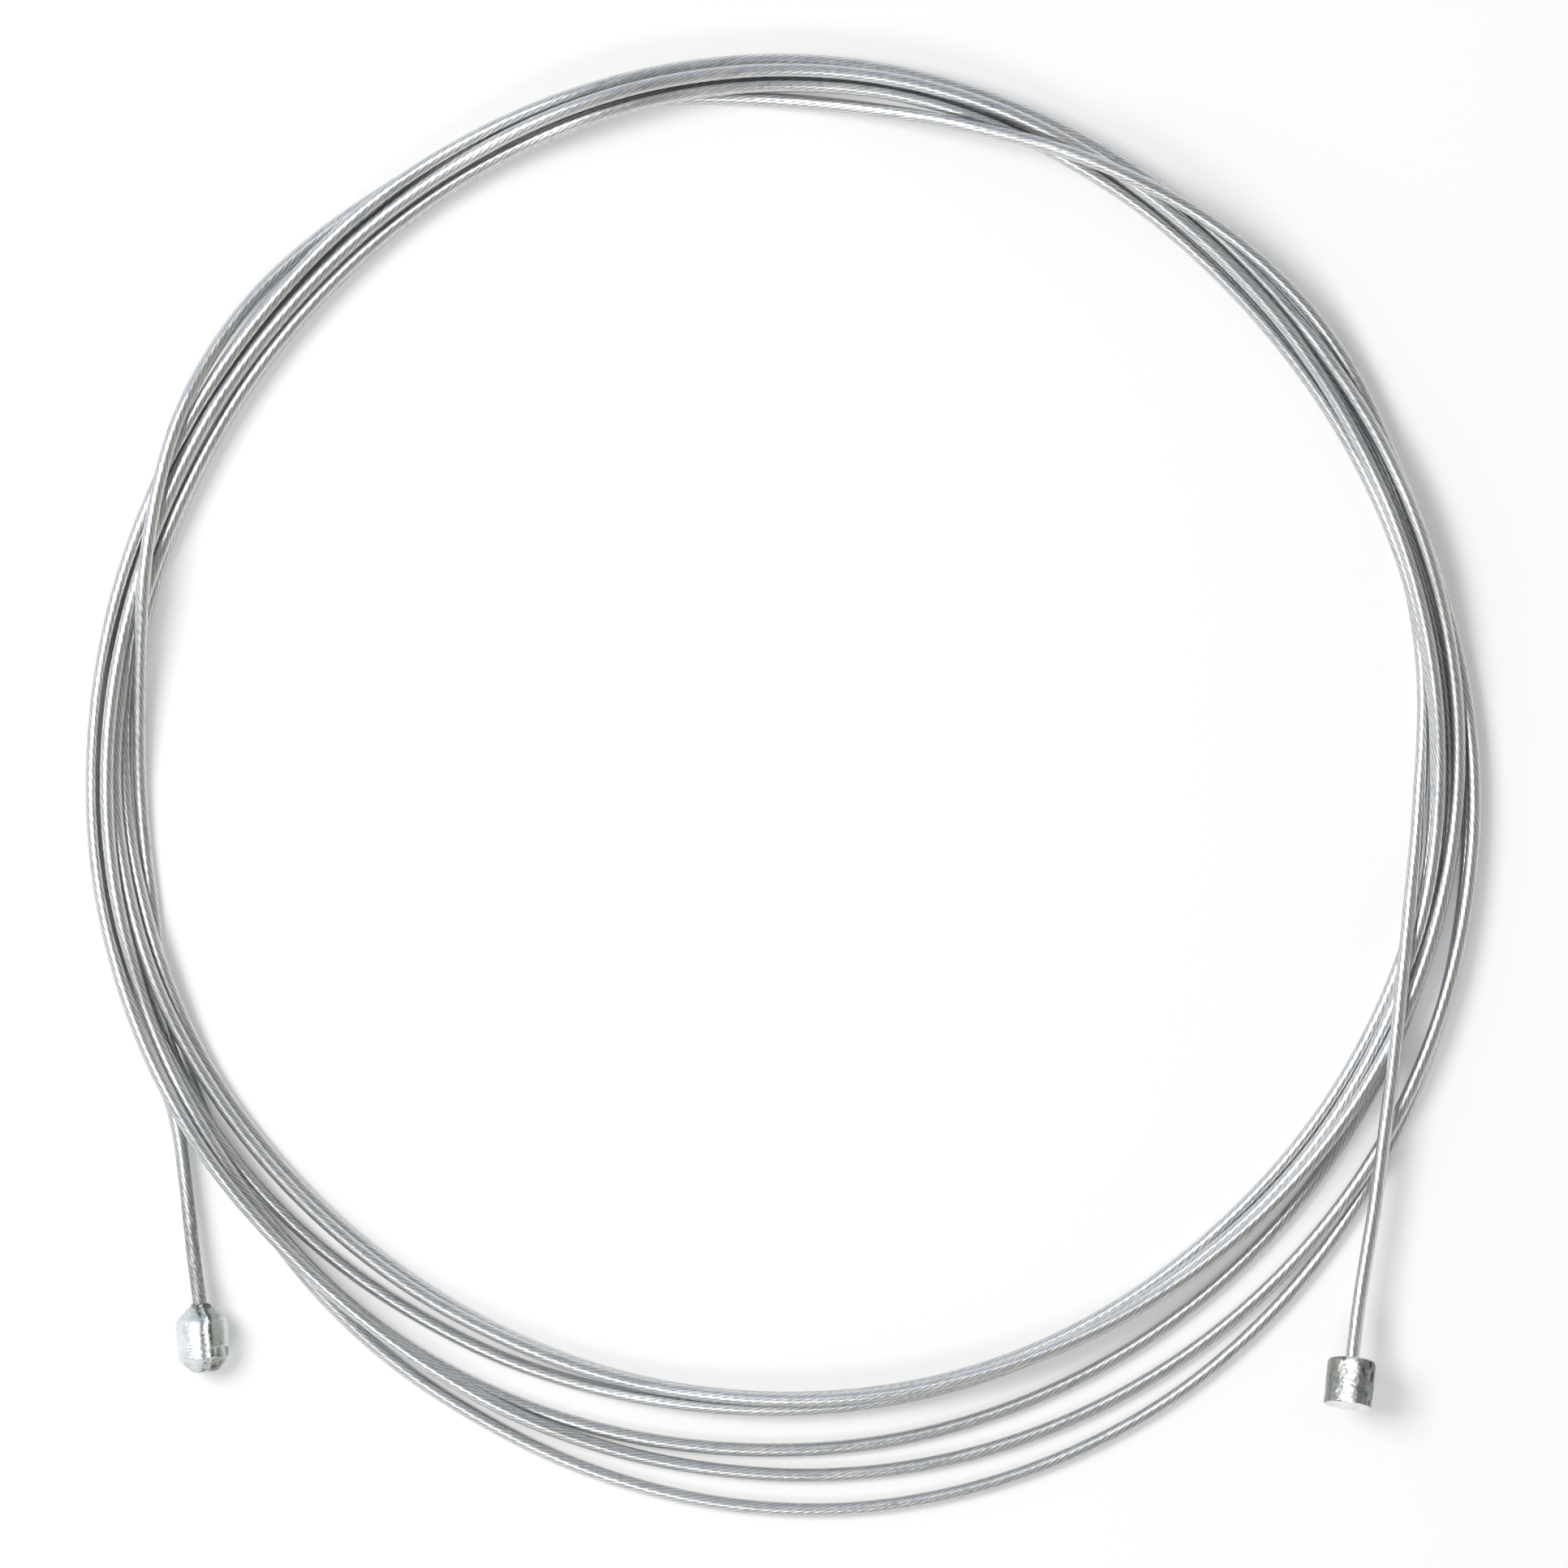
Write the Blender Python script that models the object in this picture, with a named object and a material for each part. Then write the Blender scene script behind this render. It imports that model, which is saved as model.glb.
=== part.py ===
"""Double-ended shift inner wire, wound into a loose coil and laid flat.

A steel strand runs once through the whole coil. A zinc head is cast on each of its ends: a large one
with chamfered rims and a small one with rounded rims, so that the wire fits two kinds of lever.
The frame is +Z up with the origin under the middle of the coil, on the surface that it lies on.
"""

import math

import bmesh
import bpy
import numpy as np
from mathutils import Matrix, Vector

MM = 0.001

# Strand
STRAND_D = 1.2 * MM
TURN_CLEARANCE = 0.1 * MM
STRAND_BEVEL_RESOLUTION = 2

# Large head, chamfered at both ends
LARGE_HEAD_D = 4.5 * MM
LARGE_HEAD_LENGTH = 5.5 * MM
LARGE_HEAD_CHAMFER = 1.15 * MM
LARGE_HEAD_BORE_DEPTH = 4.3 * MM
LARGE_HEAD_AZIMUTH = 94.0
LARGE_HEAD_TILT = 0.0

# Small head, with rounded rims, held in the air by its springy tail
SMALL_HEAD_D = 4.1 * MM
SMALL_HEAD_LENGTH = 4.0 * MM
SMALL_HEAD_RIM = 0.3 * MM
SMALL_HEAD_BORE_DEPTH = 3.1 * MM
SMALL_HEAD_AZIMUTH = 83.3
SMALL_HEAD_TILT = 12.0
SMALL_HEAD_LIFT = 4.3 * MM

# Between the strand and the bore of a head, at its side and at its end
BORE_CLEARANCE = 0.3 * MM

HEAD_SIDES = 32
RIM_SEGMENTS = 4
SHARP_ANGLE = math.radians(30)

# How the coil is laid: degrees between two stations, how far one sinks in a round, the rounds, the
# sweeps in each that press crossing turns apart, and the upper turn's share of that. The last sweeps
# lift the upper turn alone, so that no turn is pressed into another
STATION_STEP = 3.0
STATION_SAG = 0.02 * MM
LAYING_ROUNDS = 400
PRESSING_SWEEPS = 4
UPPER_SHARE = 0.6
LAST_SWEEPS = 40

# The tube has a ring at each TUBE_STEP, and at every station of the two tails outside these angles
TUBE_STEP = 6.0
COIL_FROM = -18.0
COIL_TO = 2364.0

# Stations nearer to a head than this many degrees give way to the straight stretch at its mouth
MOUTH_STRETCH = 2.0

# The coil's middle, measured from the origin
COIL_CENTRE = Vector((0.05 * MM, 0.0, 0.0))

# The route in seven passes round the coil, against the clock, from the small head to the large one.
# Each point is an angle in degrees, a distance from the coil's middle in millimetres, and an order:
# where two turns cross or lie on each other, the one of the higher order is on top.
PASSES = (
    # The small head's tail over all the turns, then under the pile
    (
        (-45.3, 69.15, 5), (-40.8, 65.40, 5), (-37.6, 63.40, 5), (-34.3, 61.55, 5), (-30.8, 59.80, 5),
        (-27.2, 58.35, 5), (-24, 57.25, 5), (-20, 56.10, 5), (-15, 55.15, 5), (-10, 54.60, 5),
        (-5, 54.50, 5), (0, 54.65, 0), (5, 55.15, -2), (10, 55.75, -2), (15, 56.25, -2),
        (22, 56.80, -2), (30, 57.30, -2), (40, 58.00, -2), (50, 58.85, -2), (60, 59.60, -2),
        (70, 60.25, -2), (80, 60.85, -2), (90, 61.10, -2), (100, 61.00, -2), (110, 60.65, -1.5),
        (120, 60.10, -1.5), (130, 59.45, -1.5), (140, 59.05, -1.5), (150, 58.65, -1.5),
        (160, 58.30, -1.5), (170, 58.05, -1.5), (180, 58.00, -1.5), (190, 57.90, -1.5),
        (200, 57.70, -1.5), (207, 57.45, -1.5), (214, 57.05, 0), (221, 56.55, 0), (228, 55.95, 0),
        (236, 55.30, 0), (244, 54.80, 0), (252, 54.25, 1), (260, 53.80, 1), (268, 53.55, 1),
        (276, 53.45, 1), (285, 53.45, 1), (294, 53.50, 1), (303, 53.70, 1), (312, 54.15, 1),
        (320, 54.70, 1), (328, 55.15, 1), (336, 55.50, 1), (344, 55.80, 1), (352, 56.05, 1),
    ),
    # Second from the inside, in the top layer all the way round
    (
        (0, 56.20, 3), (7, 56.40, 3), (14, 56.65, 3), (21, 56.95, 3), (28, 57.25, 3), (35, 57.70, 3),
        (42, 58.20, 3), (50, 58.75, 4), (57, 59.35, 4), (65, 60.15, 4), (72, 60.75, 4), (80, 61.15, 4),
        (88, 61.30, 4), (97, 61.20, 4), (107, 60.80, 4), (116, 60.25, 4), (125, 59.70, 4),
        (135, 59.05, 4), (145, 58.65, 4), (155, 58.30, 4), (165, 58.10, 4), (178, 58.05, 4),
        (190, 58.00, 3.5), (196, 57.90, 3), (202, 57.95, 2.5), (212, 57.85, 2), (221, 57.95, 1),
        (229, 58.10, 1), (237, 58.05, 0), (246, 57.80, 0), (256, 57.45, 0), (266, 57.15, 0),
        (278, 57.00, 0), (292, 56.85, 0), (306, 56.80, 0), (318, 56.80, 0), (328, 56.85, 0),
        (337, 56.95, 0), (348, 57.05, 0),
    ),
    # Under the pile on the right and the top, then the innermost turn
    (
        (0, 57.20, 0), (10, 57.40, 0), (20, 57.65, 0), (28, 57.95, 0), (36, 58.35, 0), (45, 58.85, 0),
        (55, 59.35, 0), (65, 59.80, 0), (75, 60.10, 0), (85, 60.15, 0), (95, 60.05, 0),
        (105, 59.60, 0), (115, 59.05, 0), (125, 58.40, 0), (135, 57.85, 0), (145, 57.40, 0),
        (155, 57.05, 0), (165, 56.80, 0), (175, 56.75, 0), (183, 56.45, 0), (190, 55.95, 0),
        (197, 55.55, 0), (205, 55.15, 0), (215, 54.35, 0), (225, 53.70, 0), (235, 53.20, 0),
        (245, 52.90, 0), (255, 52.75, 0), (265, 52.65, 0), (275, 52.70, 0), (285, 52.90, 0),
        (295, 53.05, 0), (305, 53.20, 0), (315, 53.45, 0), (325, 53.95, 0), (335, 54.55, 0),
        (345, 55.20, 0), (352, 55.65, 0),
    ),
    # Innermost on the right and the top, then on top of the innermost turn
    (
        (0, 55.95, 1), (5, 56.15, 1), (12, 56.30, 1), (20, 56.45, 1), (30, 56.70, 1), (40, 57.05, 1),
        (50, 57.65, 1), (58, 58.30, 2), (66, 58.95, 3), (73, 59.55, 3), (79, 59.95, 3), (90, 60.10, 3),
        (100, 59.90, 3), (110, 59.45, 3), (117, 59.05, 3), (125, 58.50, 3), (135, 57.85, 3),
        (145, 57.45, 3), (155, 57.15, 3), (163, 57.20, 2), (172, 57.40, 2), (180, 57.40, 2),
        (188, 57.05, 2), (195, 56.65, 2), (202, 56.10, 2), (210, 55.40, 2), (218, 54.75, 2),
        (226, 54.15, 2), (234, 53.65, 2), (242, 53.20, 2), (250, 52.95, 2), (258, 52.75, 2),
        (266, 52.65, 2), (274, 52.75, 2), (282, 52.95, 2), (290, 53.25, 2), (298, 53.70, 2),
        (306, 54.20, 2), (315, 54.85, 2), (324, 55.55, 2), (332, 56.20, 2), (340, 56.75, 2),
        (347, 57.15, 2), (354, 57.55, 2),
    ),
    # The outermost of the pile
    (
        (0, 57.85, 2), (7, 58.15, 2), (15, 58.45, 2), (23, 58.75, 2), (31, 59.05, 2), (39, 59.30, 2),
        (46, 59.65, 2), (54, 60.20, 3), (62, 60.75, 3), (70, 61.30, 3), (78, 61.75, 3), (86, 62.10, 3),
        (95, 62.15, 3), (105, 61.90, 3), (115, 61.55, 3), (125, 61.15, 3), (135, 60.45, 3),
        (145, 59.95, 3), (155, 59.60, 3), (166, 59.45, 3), (178, 59.35, 3), (190, 59.30, 3),
        (196, 59.20, 3), (202, 59.10, 3), (212, 58.80, 3), (221, 58.45, 3), (229, 58.25, 3),
        (237, 58.35, 3), (246, 58.65, 2), (256, 58.90, 0), (266, 59.10, 0), (276, 59.40, 0),
        (287, 59.65, 0), (298, 59.80, 0), (310, 59.90, 1), (321, 59.90, 2), (332, 59.80, 2),
        (342, 59.60, 2), (351, 59.40, 2),
    ),
    # The wrap: over the pile, under it, over it and under it again, then the outermost turn
    (
        (0, 59.25, 1.5), (8, 59.00, 1), (16, 58.80, 0.6), (24, 58.95, 0.5), (30, 59.45, 0.5),
        (36, 60.25, 0.5), (41, 60.65, 3), (47, 60.70, 6), (54, 60.45, 6), (61, 59.85, 6),
        (68, 59.20, 6), (74, 58.70, 5), (80, 58.50, 0), (87, 58.65, -3), (93, 59.10, -3),
        (99, 59.80, -3), (105, 60.55, -3), (111, 61.25, -3), (118, 61.40, -3), (125, 61.50, -3),
        (131, 61.75, -3), (137, 61.85, 0), (143, 61.45, 6), (149, 60.60, 6), (155, 59.25, 6),
        (161, 57.85, 6), (167, 56.60, 6), (173, 55.75, 4), (180, 55.30, 0), (186, 55.15, -3),
        (191, 55.25, -3), (197, 55.90, -3), (204, 56.65, -3), (212, 57.45, -3), (220, 58.30, -3),
        (228, 59.10, -2), (236, 59.75, 0), (244, 60.25, 0), (252, 60.95, 0), (260, 61.55, 0),
        (268, 62.05, 0), (276, 62.40, 0), (285, 62.50, 0), (294, 62.45, 0), (303, 62.25, 0),
        (312, 61.75, 0), (321, 61.15, 0), (330, 60.45, 0), (339, 59.85, 0), (350, 59.20, 0),
    ),
    # Under the pile to the left side, then the large head's tail
    (
        (0, 58.70, 0), (8, 58.40, -1), (16, 58.30, -1), (24, 58.40, -1), (32, 58.85, -1),
        (40, 59.40, -1), (48, 59.95, -1), (56, 60.50, -1), (65, 60.95, -1), (75, 61.50, -1),
        (85, 62.00, -1), (95, 62.15, -1), (105, 61.85, -1), (115, 61.40, -1), (125, 60.80, -1),
        (135, 60.30, -1), (145, 59.90, -1), (155, 59.60, -1), (165, 59.40, -1), (175, 59.35, -1),
        (185, 59.20, -1), (193, 58.90, -1), (200, 58.75, -1), (204.5, 58.95, -1), (208.6, 59.45, -1),
        (211.2, 60.45, -1), (214.5, 62.15, -1), (217.7, 64.15, -1), (221.8, 67.15, -1),
    ),
)


def clear_scene():
    for obj in list(bpy.data.objects):
        bpy.data.objects.remove(obj, do_unlink=True)


def metal(name, colour, roughness):
    """A bare metal: its colour, fully metallic, with the given roughness."""
    material = bpy.data.materials.new(name)
    material.use_nodes = True
    shader = material.node_tree.nodes["Principled BSDF"]
    shader.inputs["Base Color"].default_value = (*colour, 1.0)
    shader.inputs["Metallic"].default_value = 1.0
    shader.inputs["Roughness"].default_value = roughness
    return material


def head_direction(azimuth, tilt):
    """The way in which the wire leaves a head: azimuth from +X, and tilt down towards the surface."""
    flat = math.cos(math.radians(tilt))
    turn = math.radians(azimuth)
    return Vector((flat * math.cos(turn), flat * math.sin(turn), -math.sin(math.radians(tilt))))


def route_keys():
    """The route's points with the angle running on from pass to pass, and the distances in metres."""
    rows = [
        (angle + 360.0 * number, distance * MM, order)
        for number, points in enumerate(PASSES)
        for angle, distance, order in points
    ]
    return np.array(rows).T


def smooth_through(wanted, given, values):
    """Values at the wanted angles on a smooth curve through the given ones."""
    gap = np.diff(given)
    rise = np.diff(values) / gap
    slope = np.empty(len(values))
    slope[1:-1] = (rise[:-1] * gap[1:] + rise[1:] * gap[:-1]) / (gap[1:] + gap[:-1])
    slope[0] = rise[0]
    slope[-1] = rise[-1]
    k = np.clip(np.searchsorted(given, wanted) - 1, 0, len(given) - 2)
    t = (wanted - given[k]) / gap[k]
    start = (1 + 2 * t) * (1 - t) ** 2 * values[k] + t * (1 - t) ** 2 * gap[k] * slope[k]
    end = t**2 * (3 - 2 * t) * values[k + 1] + t**2 * (t - 1) * gap[k] * slope[k + 1]
    return start + end


def crossings(angles, distances, order):
    """Pairs of stations at one angle that lie on each other: upper, lower and the height between them."""
    pitch = STRAND_D + TURN_CLEARANCE
    turn = round(360.0 / STATION_STEP)
    lean = np.gradient(distances, np.radians(angles)) / distances
    found = []
    for i in range(len(angles)):
        for j in range(i + turn, len(angles), turn):
            across = abs(distances[i] - distances[j]) / math.hypot(1.0, lean[i] - lean[j])
            if across >= pitch:
                continue
            upper, lower = (i, j) if order[i] >= order[j] else (j, i)
            found.append((upper, lower, math.sqrt(pitch**2 - across**2)))
    return found


def press_apart(heights, pairs, share):
    """Lifts each upper station off the one under it, which gives way by the rest of the share."""
    for upper, lower, rise in pairs:
        lack = rise - (heights[upper] - heights[lower])
        if lack > 0:
            heights[upper] += share * lack
            heights[lower] -= (1 - share) * lack


def lay_heights(angles, distances, order, first, last):
    """Heights of the stations: the stiff wire sinks evenly until it lies on the surface or on a turn."""
    floor = STRAND_D / 2
    pairs = crossings(angles, distances, order)
    heights = np.full(len(angles), floor)
    for _ in range(LAYING_ROUNDS):
        heights[1:-1] = (heights[:-2] + 2 * heights[1:-1] + heights[2:]) / 4
        heights -= STATION_SAG
        for _ in range(PRESSING_SWEEPS):
            press_apart(heights, pairs, UPPER_SHARE)
            np.maximum(heights, floor, out=heights)
        heights[0] = first
        heights[-1] = last
    for _ in range(LAST_SWEEPS):
        press_apart(heights, pairs, 1.0)
    return heights


def polar_point(angle, distance, height):
    turn = math.radians(angle)
    return Vector((distance * math.cos(turn), distance * math.sin(turn), height)) + COIL_CENTRE


def strand_route():
    """The strand's centre line from one blind bore to the other, and the two mouths that it leaves."""
    keys, key_distances, key_order = route_keys()
    small_out = head_direction(SMALL_HEAD_AZIMUTH, SMALL_HEAD_TILT)
    large_out = head_direction(LARGE_HEAD_AZIMUTH, LARGE_HEAD_TILT)
    small_mouth = polar_point(keys[0], key_distances[0], SMALL_HEAD_LIFT)
    large_mouth = polar_point(keys[-1], key_distances[-1], LARGE_HEAD_D / 2)

    first = STATION_STEP * math.ceil((keys[0] + MOUTH_STRETCH) / STATION_STEP)
    last = STATION_STEP * math.floor((keys[-1] - MOUTH_STRETCH) / STATION_STEP)
    angles = np.arange(first, last + STATION_STEP / 2, STATION_STEP)
    distances = smooth_through(angles, keys, key_distances)
    order = np.interp(angles, keys, key_order)
    near_small = polar_point(angles[0], distances[0], small_mouth.z)
    near_large = polar_point(angles[-1], distances[-1], large_mouth.z)
    first_height = small_mouth.z + small_out.z * (near_small - small_mouth).length
    last_height = large_mouth.z + large_out.z * (near_large - large_mouth).length
    heights = lay_heights(angles, distances, order, first_height, last_height)

    kept = [
        k for k, angle in enumerate(angles)
        if angle % TUBE_STEP == 0 or not COIL_FROM < angle < COIL_TO
    ]
    coil = [polar_point(angles[k], distances[k], heights[k]) for k in kept]
    small_end = small_mouth - small_out * (SMALL_HEAD_BORE_DEPTH - BORE_CLEARANCE)
    large_end = large_mouth - large_out * (LARGE_HEAD_BORE_DEPTH - BORE_CLEARANCE)
    return [small_end, small_mouth, *coil, large_mouth, large_end], small_mouth, large_mouth


def add_strand(points, material):
    curve = bpy.data.curves.new("wire_strand", "CURVE")
    curve.dimensions = "3D"
    curve.bevel_depth = STRAND_D / 2
    curve.bevel_resolution = STRAND_BEVEL_RESOLUTION
    curve.use_fill_caps = True
    spline = curve.splines.new("POLY")
    spline.points.add(len(points) - 1)
    for target, point in zip(spline.points, points):
        target.co = (*point, 1.0)
    strand = bpy.data.objects.new("wire_strand", curve)
    curve.materials.append(material)
    bpy.context.collection.objects.link(strand)


def turned_mesh(name, profile):
    """A closed body turned round Z from a profile of (radius, height) that starts and ends on the axis."""
    shape = bmesh.new()
    rings = []
    for radius, height in profile:
        sides = HEAD_SIDES if radius > 0 else 1
        rings.append([
            shape.verts.new((
                radius * math.cos(2 * math.pi * k / HEAD_SIDES),
                radius * math.sin(2 * math.pi * k / HEAD_SIDES),
                height,
            ))
            for k in range(sides)
        ])
    for lower, upper in zip(rings, rings[1:]):
        for k in range(HEAD_SIDES):
            n = (k + 1) % HEAD_SIDES
            below = [lower[k % len(lower)], lower[n % len(lower)]]
            above = [upper[n % len(upper)], upper[k % len(upper)]]
            shape.faces.new(list(dict.fromkeys(below + above)))
    bmesh.ops.recalc_face_normals(shape, faces=shape.faces)
    mesh = bpy.data.meshes.new(name)
    shape.to_mesh(mesh)
    shape.free()
    mesh.shade_smooth()
    mesh.set_sharp_from_angle(angle=SHARP_ANGLE)
    return mesh


def bore_profile(depth):
    """The blind bore that the strand is cast into, from its bottom up to the mouth at height 0."""
    radius = STRAND_D / 2 + BORE_CLEARANCE
    return [(0.0, -depth), (radius, -depth), (radius, 0.0)]


def large_head_profile():
    radius = LARGE_HEAD_D / 2
    flat = radius - LARGE_HEAD_CHAMFER
    return bore_profile(LARGE_HEAD_BORE_DEPTH) + [
        (flat, 0.0),
        (radius, -LARGE_HEAD_CHAMFER),
        (radius, LARGE_HEAD_CHAMFER - LARGE_HEAD_LENGTH),
        (flat, -LARGE_HEAD_LENGTH),
        (0.0, -LARGE_HEAD_LENGTH),
    ]


def small_head_profile():
    radius = SMALL_HEAD_D / 2
    inner = radius - SMALL_HEAD_RIM
    steps = [math.pi / 2 * k / RIM_SEGMENTS for k in range(RIM_SEGMENTS + 1)]
    mouth_rim = [
        (inner + SMALL_HEAD_RIM * math.sin(turn), SMALL_HEAD_RIM * (math.cos(turn) - 1))
        for turn in steps
    ]
    end_rim = [(distance, -SMALL_HEAD_LENGTH - height) for distance, height in reversed(mouth_rim)]
    return bore_profile(SMALL_HEAD_BORE_DEPTH) + mouth_rim + end_rim + [(0.0, -SMALL_HEAD_LENGTH)]


def add_head(name, profile, mouth, out, material):
    """Places a turned head with its mouth where the strand leaves it."""
    head = bpy.data.objects.new(name, turned_mesh(name, profile))
    head.data.materials.append(material)
    head.matrix_world = Matrix.Translation(mouth) @ out.to_track_quat("Z", "Y").to_matrix().to_4x4()
    bpy.context.collection.objects.link(head)


def build():
    clear_scene()
    steel = metal("galvanised_steel", (0.50, 0.51, 0.53), 0.35)
    zinc = metal("cast_zinc", (0.72, 0.72, 0.71), 0.40)
    points, small_mouth, large_mouth = strand_route()
    add_strand(points, steel)
    small_out = head_direction(SMALL_HEAD_AZIMUTH, SMALL_HEAD_TILT)
    large_out = head_direction(LARGE_HEAD_AZIMUTH, LARGE_HEAD_TILT)
    add_head("small_head", small_head_profile(), small_mouth, small_out, zinc)
    add_head("large_head", large_head_profile(), large_mouth, large_out, zinc)


build()
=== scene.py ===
# %% [markdown]
# A shift inner wire is a steel strand with a zinc head cast on each end. Here it is wound into a loose
# coil of nearly seven turns and lies on a white table, seen from straight above.
# The imported CAD part is the frame: every piece below goes where its solid lies.

import math

import bmesh
import bpy
import numpy as np
from mathutils import Matrix, Vector, noise


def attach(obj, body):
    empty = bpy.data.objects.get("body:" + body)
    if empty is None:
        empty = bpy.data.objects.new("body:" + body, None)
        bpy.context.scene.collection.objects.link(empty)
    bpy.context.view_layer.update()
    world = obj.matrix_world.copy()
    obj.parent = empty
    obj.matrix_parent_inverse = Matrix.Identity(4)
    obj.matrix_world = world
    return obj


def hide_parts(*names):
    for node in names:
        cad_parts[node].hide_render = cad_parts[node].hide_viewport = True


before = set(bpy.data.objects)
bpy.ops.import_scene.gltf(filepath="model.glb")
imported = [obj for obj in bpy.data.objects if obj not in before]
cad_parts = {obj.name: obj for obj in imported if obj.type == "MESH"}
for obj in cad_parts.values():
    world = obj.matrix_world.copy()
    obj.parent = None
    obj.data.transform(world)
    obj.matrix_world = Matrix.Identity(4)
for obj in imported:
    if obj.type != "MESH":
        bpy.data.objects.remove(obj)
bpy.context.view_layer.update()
print("CAD nodes:", ", ".join(sorted(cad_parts)))

# %% [markdown]
# Everything follows from a few sizes of the real wire. A strand of this kind has one core wire, six
# round it and twelve outside, and only the twelve show. They wind once round the strand in about
# eleven millimetres, to the left, so that a level strand shows streaks that rise to the right.

# %% Sizes of the wire and its two heads
MM = 0.001
STRAND_D = 1.2 * MM
OUTER_WIRES = 12
GROOVE_DEPTH = 0.016 * MM
LAY_LENGTH = 10.9 * MM

LARGE_HEAD_D = 4.5 * MM
LARGE_HEAD_LENGTH = 5.5 * MM
LARGE_HEAD_CHAMFER = 1.15 * MM
LARGE_HEAD_BORE_DEPTH = 4.3 * MM
LARGE_HEAD_AZIMUTH = 94.0
LARGE_HEAD_TILT = 0.0

SMALL_HEAD_D = 4.1 * MM
SMALL_HEAD_LENGTH = 4.0 * MM
SMALL_HEAD_RIM = 0.3 * MM
SMALL_HEAD_BORE_DEPTH = 3.1 * MM
SMALL_HEAD_AZIMUTH = 83.3
SMALL_HEAD_TILT = 12.0
SMALL_HEAD_LIFT = 4.3 * MM

BORE_CLEARANCE = 0.3 * MM
COIL_CENTRE = Vector((0.05 * MM, 0.0, 0.0))
print("Streaks along the strand are", round(LAY_LENGTH / OUTER_WIRES / MM, 2), "mm apart")

# %% [markdown]
# The camera comes first, because it says how far the coil may spread. It looks straight down from
# far off through a long lens, so that high and low turns show at one scale, as in the photograph.
# The photograph's frame is 134.8 mm wide, and its middle lies just above the middle of the coil.

# %% Camera
CAMERA_HEIGHT = 1.0
FRAME_WIDTH = 134.8 * MM
FRAME_MIDDLE_Y = 0.14 * MM
SENSOR_WIDTH_MM = 36.0

camera_data = bpy.data.cameras.new("camera_above")
camera_data.sensor_width = SENSOR_WIDTH_MM
camera_data.lens = SENSOR_WIDTH_MM * CAMERA_HEIGHT / FRAME_WIDTH
camera_data.clip_start = CAMERA_HEIGHT / 100
camera_data.clip_end = 20 * CAMERA_HEIGHT
camera = bpy.data.objects.new("camera_above", camera_data)
camera.location = (COIL_CENTRE.x, FRAME_MIDDLE_Y, CAMERA_HEIGHT)
bpy.context.collection.objects.link(camera)
bpy.context.scene.camera = camera
print("Lens:", round(camera_data.lens), "mm")
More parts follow.
